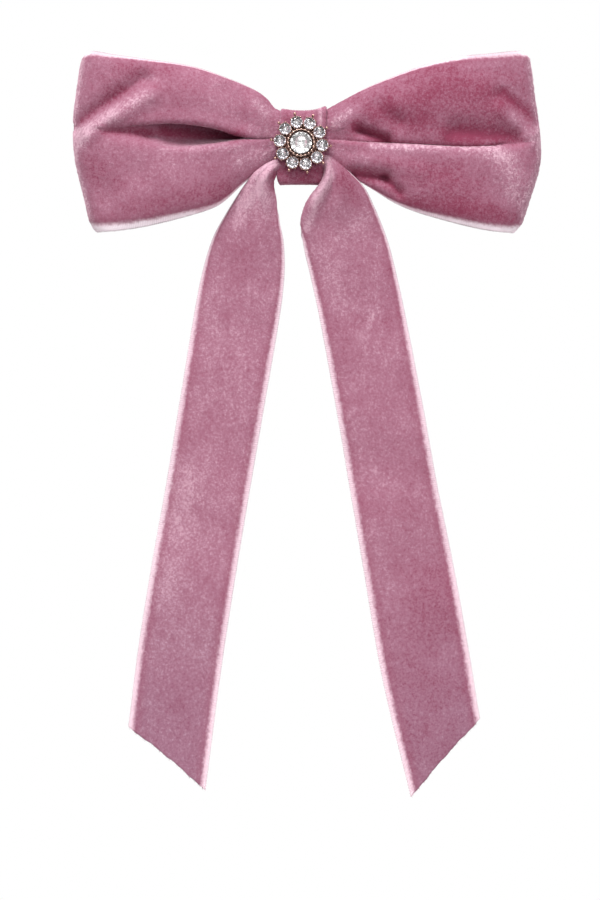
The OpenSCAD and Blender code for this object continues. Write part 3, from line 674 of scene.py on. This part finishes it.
RIGHT_LIGHT_AND_NAP = [
    ((58, -3.5), (62, -17), 5.0, 0.6), ((20, -1.0), (56, -2.0), 0.8, 0.8),
    ((22, -2.6), (58, -4.0), 1.8, 0.4), ((15.5, 4.8), (24.5, 0.9), 1.5, -1.3),
    ((19, 2.6), (25, 0.8), 0.8, -1.0), ((42, 2.8), (61, 1.8), 2.6, -1.0), ((20, 9), (34, 5), 3.2, -0.5),
    ((15, -8.4), (24, -9.8), 1.5, -1.0), ((24, -9.8), (28, -14), 1.3, -0.9),
    ((30, -17), (60, -20.5), 2.4, -0.6), ((38, 15), (58, 12), 6.0, -0.5),
    ((26, 12), (36, 8), 4.0, -0.35), ((57, 14.2), (67, 6.5), 1.3, -0.5),
    ((57, 17.5), (65, 12), 1.0, 0.5), ((60, 8.0), (65, 1.5), 2.0, 0.7),
    ((33, 22.6), (46, 24.6), 1.2, 0.7), ((9, -2), (18, -4.5), 2.2, 0.45),
    ((60, -25), (44, -22.4), 1.2, 0.7), ((44, -22.4), (27, -17.0), 0.9, 0.6),
    ((10, 6), (14, 9), 1.8, 0.7), ((34, -9), (48, -14), 5.0, -0.25), ((50, 22), (62, 24), 1.5, 0.35)]
# Width of the selvage along the lower and the upper edge of each loop
LEFT_SELVAGES = ((0.9, 1.4, 2.2, 2.8, 2.4, 1.8, 1.6), (0.6, 0.6, 0.9, 1.6, 1.5, 1.5, 1.5))
RIGHT_SELVAGES = ((0.6, 1.0, 1.8, 2.3, 2.0, 1.7, 1.5), (0.5, 0.8, 1.3, 1.7, 1.6, 1.5, 1.5))


def make_loop(name, node, side, course, top, low, reach, lips, creases, strokes, selvages, tone, seed):
    grid = loop_grid(course, top, low, reach, lips, creases)
    grid[..., 1] += wrinkles(grid, seed, 0.22) * np.clip((grid[..., 0] - 9) / 8, 0, 1)
    fold = np.interp(grid[..., 2], *np.array(reach).T) - grid[..., 0]
    middle = grid[:, grid.shape[1] // 2]
    in_front = np.arange(len(grid))[:, None] < middle[:, 0].argmax()
    # The pile's tone: the listed strokes on the front, plus a painted sheen highlight along the outer fold
    tones = light_and_nap_tones(grid, strokes) * in_front + bell(fold, FOLD_SHEEN)
    grid[..., 0] *= side
    piece = ribbon(name, grid, LOOP_W, selvages, np.clip(tones, -1, 1), (tone,), side)
    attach(piece, ROOT)
    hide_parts(node)


make_loop("left_loop_velvet", "left_loop", -1, LEFT_COURSE, LEFT_TOP, LEFT_LOW, LEFT_REACH, LEFT_LIPS,
          LEFT_CREASES, LEFT_LIGHT_AND_NAP, LEFT_SELVAGES, 0.0, 3)
make_loop("right_loop_velvet", "right_loop", 1, RIGHT_COURSE, RIGHT_TOP, RIGHT_LOW, RIGHT_REACH, RIGHT_LIPS,
          RIGHT_CREASES, RIGHT_LIGHT_AND_NAP, RIGHT_SELVAGES, -0.11, 5)

# ---------------------------------------------------------------- the two tails

TAIL_Y = -10.35            # mm, the plane in which the tails hang

# Rows of a tail from inside the band to the cut: inner edge x, z, outer edge x, z, forward shift, the pleat
# near the inner edge (its place across, width and height), and the curl of the inner edge
LEFT_TAIL = [
    (-2.0, -7.4, -2.0, -5.0, 2.2, 0.5, 0.5, 0.3, 0.6),
    (-7.0, -7.8, -7.2, -4.8, 2.8, 0.5, 0.4, 0.6, 0.9),
    (-7.6, -9.2, -10.8, -6.6, 3.2, 0.45, 0.30, 1.5, 1.2),
    (-8.2, -10.9, -14.0, -9.0, 3.0, 0.40, 0.22, 1.9, 1.1),
    (-8.0, -13.2, -16.6, -12.2, 2.6, 0.28, 0.18, 1.7, 0.8),
    (-7.3, -16.6, -19.0, -15.8, 2.0, 0.22, 0.16, 1.2, 0.4),
    (-6.2, -21.8, -22.0, -20.6, 1.2, 0.18, 0.18, 0.6, 0.1),
    (-4.9, -27.5, -25.0, -26.0, 0.6, 0.2, 0.24, 0.2, 0),
    (-4.5, -36.0, -27.6, -33.4, 0.2, 0.3, 0.3, 0, 0), (-5.6, -47.5, -30.0, -43.8, 0.3, 0.3, 0.3, 0, 0),
    (-10.4, -76.0, -34.8, -72.4, 0.6, 0.3, 0.3, 0, 0),
    (-14.4, -99.2, -38.6, -95.4, 0.2, 0.3, 0.3, 0, 0),
    (-18.2, -122.0, -42.7, -118.2, -0.5, 0.3, 0.3, 0, 0),
    (-22.8, -152.0, -46.9, -144.0, -0.6, 0.3, 0.3, 0, 0),
    (-27.1, -185.2, -49.7, -166.6, 0.2, 0.3, 0.3, 0, 0)]
RIGHT_TAIL = [
    (2.0, -7.4, 2.0, -5.0, 2.2, 0.5, 0.5, 0.3, 0.8), (6.8, -6.6, 7.4, -3.6, 3.0, 0.4, 0.4, 0.8, 1.4),
    (6.7, -9.4, 11.2, -5.7, 3.4, 0.22, 0.20, 1.7, 1.9),
    (5.4, -12.0, 15.0, -9.0, 3.2, 0.16, 0.15, 2.2, 2.2),
    (3.0, -15.0, 18.3, -12.6, 2.8, 0.13, 0.13, 2.2, 2.2),
    (1.1, -18.6, 20.8, -17.4, 2.1, 0.10, 0.12, 1.7, 1.6),
    (0.1, -23.0, 23.0, -22.4, 1.2, 0.10, 0.14, 1.0, 0.7),
    (0.5, -29.0, 25.2, -28.4, 0.6, 0.12, 0.20, 0.4, 0),
    (2.3, -37.0, 27.2, -36.0, 0.3, 0.2, 0.3, 0.1, 0), (4.8, -48.5, 29.6, -46.5, 0.4, 0.3, 0.3, 0, 0),
    (10.0, -77.0, 35.0, -74.0, 0.6, 0.3, 0.3, 0, 0), (13.9, -100.0, 39.2, -97.0, 0.2, 0.3, 0.3, 0, 0),
    (17.7, -122.6, 43.6, -118.6, -0.4, 0.3, 0.3, 0, 0),
    (23.2, -154.0, 48.2, -144.0, -0.5, 0.3, 0.3, 0, 0),
    (31.2, -187.2, 51.4, -164.2, 0.2, 0.3, 0.3, 0, 0)]
# How far the middle of a tail stands forward of its edges, by share of the way down
CUP = [(0, 0.4), (0.15, 0.9), (0.35, 0.8), (0.6, 0.35), (1, 0.1)]
FRAY = 0.07                # mm, half the width of a loose thread at a cut

# Width of the selvage along the inner and the outer edge of each tail
TAIL_SELVAGES = ((0.6, 1.2, 1.8, 1.9, 1.9, 1.9, 1.9), (0.5, 1.0, 1.7, 1.9, 1.9, 1.9, 1.9))
# Painted light and shade on each tail's pile, with some nap patches, as strokes: painted highlights along
# the neck's ridge, a painted shadow in the notch under the band, and darker towards the cut
LEFT_TAIL_LIGHT_AND_NAP = [
    ((8.0, -5.6), (11.2, -9.0), 1.3, 1.2), ((11.2, -9.0), (11.6, -14), 1.4, 0.9),
    ((14, -10), (18, -22), 2.6, 0.6), ((11, -16), (12, -24), 2.5, 0.25),
    ((12, -24), (14, -50), 4, -0.1), ((37, -165), (38, -180), 10, -0.3),
    ((16, -32), (22, -50), 3.5, -0.3), ((33, -95), (38, -130), 5.0, 0.25),
    ((7.6, -8.6), (8.2, -12.5), 1.1, -1.3)]
RIGHT_TAIL_LIGHT_AND_NAP = [
    ((7.4, -4.4), (8.9, -9), 1.0, 1.2), ((8.6, -9), (5.0, -15), 1.3, 1.1),
    ((4.4, -16), (1.8, -24), 1.2, 0.8), ((11.5, -10), (15.5, -16), 2.6, -0.6),
    ((25, -36), (26, -52), 2.2, -0.25), ((11, -28), (17, -22), 2.5, 0.35),
    ((6, -32), (12, -44), 3.5, 0.2), ((10, -52), (15, -62), 3.5, -0.25),
    ((17, -56), (21, -48), 1.5, 0.35), ((38, -125), (41, -175), 12, -0.3)]


def tail_grid(rows_table, rows=290, columns=60):
    """Grid of a tail: its inner edge is curled under by the last column of the table, in mm."""
    data = np.asarray(rows_table, float)
    middles = (data[:, 0:2] + data[:, 2:4]) / 2
    knots = np.concatenate([[0], np.cumsum(np.linalg.norm(np.diff(middles, axis=0), axis=1))])
    at = np.linspace(0, knots[-1], rows)
    path = smooth(knots, data, at)
    v = np.linspace(0, 1, 120)
    grid = np.empty((rows, columns, 3))
    for i, (x0, z0, x1, z1, forward, pleat_at, pleat_w, pleat_h, curl) in enumerate(path):
        share = at[i] / knots[-1]
        swell = float(table(CUP, share)) * (1 - (2 * v - 1) ** 2)
        ridge = max(pleat_h, 0) * bell(v - pleat_at, max(pleat_w, 0.1))
        second = 0.5 * max(pleat_h, 0) * bell(v - pleat_at - 0.42, 0.14)
        y = TAIL_Y - forward - swell - ridge - second
        line = np.stack([x0 + v * (x1 - x0), y, z0 + v * (z1 - z0)], -1)
        curl = max(curl, 0)
        across = (line[-1] - line[0]) / np.linalg.norm(line[-1] - line[0])
        turn = np.linspace(1, 0, 14)[:, None]
        behind = np.array([0, 1, 0]) * curl * np.sin(turn * 1.9)
        under = line[0] + across * curl * (1.1 * turn ** 2) + behind
        grid[i] = even(np.concatenate([under[:-1], line]) if curl > 0.02 else line, columns)
    v = np.linspace(0, 1, columns)[None, :]
    last = np.clip((at / knots[-1] - 0.93) / 0.07, 0, 1)[:, None]
    grid[..., 2] += last * (3.2 * v * (1 - v) + 0.12 * np.sin(v * 21) + 0.08 * np.sin(v * 47))
    return grid


def make_tail(name, rows_table, nodes, body, side, strokes, tone, seed):
    grid = tail_grid(rows_table)
    lower = np.clip((-14 - grid[..., 2]) / 10, 0, 1)
    grid[..., 1] += wrinkles(grid * (0.4, 1, 0.5), seed, 0.5) * lower
    tones = np.clip(light_and_nap_tones(grid, strokes), -1, 1)
    piece = ribbon(name, grid, TAIL_W, TAIL_SELVAGES, tones, (tone, 0.15, 0.5), side, 0.2)
    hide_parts(*nodes)
    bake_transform(piece)
    fray(name.replace("velvet", "fray"), grid, body, 70, seed)


def fray(name, grid, body, count, seed):
    """Short loose threads at the slanted cut, lying in the plane of the ribbon."""
    pick = np.random.default_rng(seed)
    cut, before = grid[-1], grid[-5]
    points, faces = [], []
    for u in pick.uniform(0.02, 0.98, count):
        k = u * (len(cut) - 1)
        root = np.array([np.interp(k, np.arange(len(cut)), cut[:, c]) for c in range(3)])
        inside = np.array([np.interp(k, np.arange(len(cut)), before[:, c]) for c in range(3)])
        run = (root - inside) / np.linalg.norm(root - inside)
        bend = np.array([pick.normal(0, 0.5), pick.normal(0, 0.3), pick.normal(0, 0.2)])
        length = pick.uniform(0.15, 0.5)
        first = len(points)
        for t in (-0.25, 0.35, 0.7, 1.0):
            middle = root + run * length * t + bend * max(t, 0) ** 2 * length
            for a in (0, 2.1, 4.2):
                around = np.array([math.cos(a), math.sin(a), 0])
                points.append(middle + FRAY * (1 - 0.6 * max(t, 0)) * around)
        for ring in range(3):
            for a in range(3):
                p, q = first + 3 * ring + a, first + 3 * ring + (a + 1) % 3
                faces.append([p, q, q + 3, p + 3])
        faces += [[first + 2, first + 1, first], [first + 9, first + 10, first + 11]]
    piece = add_object(name, points, faces)
    piece.data.materials.append(thread(name + "_thread", (0.62, 0.36, 0.45)))
    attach(piece, body)


make_tail("left_tail_velvet", LEFT_TAIL, ["left_tail"], "tail_left", -1, LEFT_TAIL_LIGHT_AND_NAP, 0.12, 11)
make_tail("right_tail_velvet", RIGHT_TAIL, ["right_tail", "tail_knot"], "tail_right", 1, RIGHT_TAIL_LIGHT_AND_NAP,
          0.07, 12)

# ---------------------------------------------------------------- the centre band

BAND_LEFT = (-7.2, -5.7)   # mm, the band's left edge at its bottom and top
BAND_RIGHT = (6.3, 7.3)
BAND_FRONT_Y, BAND_BACK_Y = -14.0, -5.75
BAND_TOP, BAND_LOW = 9.15, -10.95
PLEAT_X, PLEAT_FOOT_X = 5.3, 4.2
HEM = 0.16                 # share of the band's half width that turns in at each edge
BAND_SELVAGES = ((0.1, 0.1), (0.1, 0.1))


def band_section(v):
    """The line round the waist, as (Y, Z) points, at a place v across the band from -1 to 1."""
    top = BAND_TOP + (0.6 if v < 0 else 1.45) * abs(v) ** 2.4
    low = BAND_LOW - 0.15 * abs(v) ** 3
    hem = max(abs(v) - (1 - HEM), 0) / HEM
    front, back = BAND_FRONT_Y + 0.7 * hem ** 2, BAND_BACK_Y - 0.5 * hem ** 2
    waist = 0.15 * (1 - v ** 2)
    middle = 0.5 * (front + back)
    corners = np.array([
        (front + waist, 0.0), (front + 0.1, 0.6 * top), (front + 0.5, top - 0.75),
        (front + 1.5, top - 0.12), (middle, top), (back - 1.2, top - 0.8),
        (back, 0.5 * top), (back, 0.5 * low), (back - 1.2, low + 0.8),
        (middle, low), (front + 1.5, low + 0.1), (front + 0.5, low + 0.7),
        (front + 0.1, 0.6 * low), (front + waist, 0.0)])
    closed = np.concatenate([corners[-3:-1], corners, corners[1:3]])
    return smooth(np.arange(len(closed)), closed, np.linspace(2, len(closed) - 3, 400))


def band_grid(rows=170, columns=60):
    """Grid of the band, round the waist and across it."""
    grid = np.empty((rows, columns, 3))
    for j, v in enumerate(np.linspace(-1, 1, columns)):
        line = even(band_section(v), rows)
        share = np.clip((line[:, 1] + 11.7) / 22, 0, 1)
        tuck = np.clip((-8 - line[:, 1]) / 3, 0, 1) ** 2
        left = np.interp(share, (0, 1), BAND_LEFT) + 0.9 * tuck
        right = np.interp(share, (0, 1), BAND_RIGHT) - 0.5 * tuck
        x = (left + right) / 2 + v * (right - left) / 2
        grid[:, j] = np.stack([x, line[:, 0], line[:, 1]], -1)
    return grid


def make_band():
    grid = band_grid()
    upper = np.clip(grid[..., 2] / 4, 0, 1) * (grid[..., 1] < -11)
    pleat = 0.3 * bell(grid[..., 0] - PLEAT_FOOT_X, 0.6) - 0.5 * bell(grid[..., 0] - PLEAT_X, 0.55)
    grid[..., 1] += pleat * upper
    # Painted light on the band: painted highlights along the pleat's ridge and the left edge of its upper
    # front, and painted shade darkening it towards the bottom, under the brooch
    lit = 0.9 * bell(grid[..., 0] - PLEAT_X - 0.1, 0.5) + 0.7 * bell(grid[..., 0] + 5.8, 0.6)
    tones = -0.22 - 0.26 * np.clip(-grid[..., 2] / 8, 0, 1) + lit * upper
    width = np.linalg.norm(np.diff(grid[0], axis=0), axis=-1).sum()
    piece = ribbon("band_velvet", grid, width, BAND_SELVAGES, np.clip(tones, -1, 1), (-0.04,), -1)
    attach(piece, ROOT)
    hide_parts("centre_band")


make_band()

# ---------------------------------------------------------------- brooch, clip and threads

ROSE_GOLD = plated_metal("rose_gold", (0.55, 0.34, 0.28), (0.03, 0.014, 0.012), 0.26, (1, 1, 1))
# The beads get a stronger painted shade in the gaps between them
BEADS = plated_metal("bead_rose_gold", (0.62, 0.42, 0.35), (0.015, 0.008, 0.006), 0.22, (1, 1, 1),
                     (0.55, 0.95))
OXIDISED = plated_metal("oxidised_rose_gold", (0.20, 0.10, 0.085), (0.012, 0.006, 0.005), 0.4, (1, 1, 1))
STEEL = plated_metal("nickel_steel", (0.74, 0.73, 0.71), (0.30, 0.29, 0.28), 0.24, (0.1, 1, 3))
CRYSTAL = crystal("crystal")
CENTRE_FOIL = foil("centre_foil", (1.0, 1.0, 1.0), (0.85, 0.85, 0.88), 0.15)
PETAL_FOIL = foil("petal_foil", (0.74, 0.72, 0.75), (0.30, 0.29, 0.32), 0.06)


def facet_ring(radius, z, count, turn):
    angles = (np.arange(count) + turn) * 2 * math.pi / count
    return np.stack([radius * np.cos(angles), radius * np.sin(angles), np.full(count, z)], -1)


def brilliant(radius):
    """Round brilliant with its girdle at z = 0: points and faces, and which faces are on the pavilion."""
    rings = [facet_ring(0.56, 0.33, 8, 0), facet_ring(0.79, 0.215, 8, 0.5), facet_ring(0.985, 0.045, 16, 0),
             facet_ring(1.0, 0.0, 16, 0), facet_ring(0.985, -0.045, 16, 0), facet_ring(0.5, -0.40, 8, 0.5),
             facet_ring(0.08, -0.66, 8, 0)]
    bm = bmesh.new()
    for p in np.concatenate(rings) * radius:
        bm.verts.new(p)
    bmesh.ops.convex_hull(bm, input=bm.verts)
    bmesh.ops.dissolve_limit(bm, angle_limit=math.radians(1), verts=bm.verts, edges=bm.edges)
    bm.verts.index_update()
    points = np.array([v.co for v in bm.verts])
    faces = [[v.index for v in f.verts] for f in bm.faces]
    below = [f.calc_center_median().z < -0.03 * radius for f in bm.faces]
    bm.free()
    return points, faces, below


def make_stone(name, node, radius, turn, backing):
    low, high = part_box(node)
    middle = (low + high) / 2 / MM
    points, faces, below = brilliant(radius)
    c, s = math.cos(turn), math.sin(turn)
    girdle_y = low.y / MM + 0.33 * radius
    place = np.stack([middle.x + c * points[:, 0] - s * points[:, 1], girdle_y - points[:, 2],
                      middle.z + s * points[:, 0] + c * points[:, 1]], -1)
    piece = add_object(name, place, faces, False)
    piece.data.materials.append(CRYSTAL)
    piece.data.materials.append(backing)
    piece.data.polygons.foreach_set("material_index", [int(b) for b in below])
    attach(piece, ROOT)
    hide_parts(node)


def dress(nodes, material):
    for n in nodes:
        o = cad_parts[n]
        o.data.materials.clear()
        o.data.materials.append(material)


PETALS = 10
CENTRE_R = 3.1             # mm, the girdles of the stones
PETAL_R = 1.68
make_stone("centre_crystal", "centre_stone", CENTRE_R, 0.2, CENTRE_FOIL)
for k in range(1, PETALS + 1):
    turn = rng.uniform(0, math.pi)
    make_stone(f"petal_crystal_{k:02d}", f"petal_stone_{k:02d}", PETAL_R, turn, PETAL_FOIL)
dress(["brooch_plate", "centre_setting"], OXIDISED)
dress(["bead_ring"], BEADS)
dress([f"petal_setting_{k:02d}" for k in range(1, PETALS + 1)], ROSE_GOLD)
dress(["base_plate", "hinge_pin", "clasp_arm", "tension_bar", "catch_bracket", "catch_rivet",
       "catch_leg_upper", "catch_leg_lower"], STEEL)
dress(["band_stitches"], thread("rose_thread", (0.55, 0.26, 0.34)))
dress(["binding_thread", "clip_stitches"], thread("pale_thread", (0.85, 0.72, 0.74)))

add_camera()
add_studio()
add_floor()
